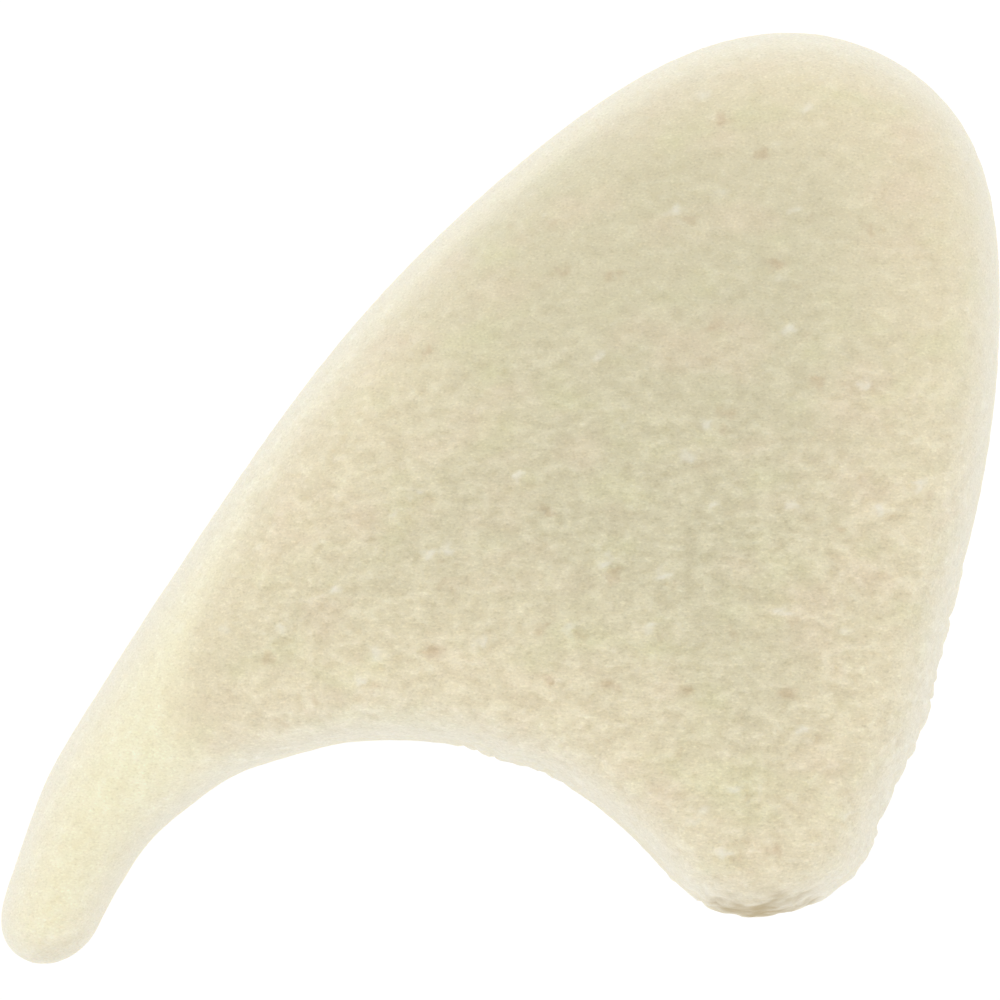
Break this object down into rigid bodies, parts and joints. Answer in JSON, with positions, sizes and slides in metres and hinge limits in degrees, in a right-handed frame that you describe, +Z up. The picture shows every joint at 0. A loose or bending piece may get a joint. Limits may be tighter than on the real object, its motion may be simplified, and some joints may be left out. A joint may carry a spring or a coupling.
{
  "type": "foam toe separator",
  "caption": "Fin-shaped pad of soft latex foam with a round web arch, a short lobe and a slender tail, worn between two toes.",
  "frame": {"origin": "centre of the bounding box, on the flat underside that the pad lies on", "axes": "+Z up, out of the broad face that the picture shows; +X along the pad's longer outline side, from the tail to the lobe; +Y from the mouth of the web arch towards the crown"},
  "size_m": [0.04, 0.0374, 0.0096],
  "materials": {
    "latex_foam": "matt cream latex foam with a fine crumpled skin"
  },
  "bodies": {
    "root": {"foam_pad": "latex_foam"}
  },
  "joints": []
}
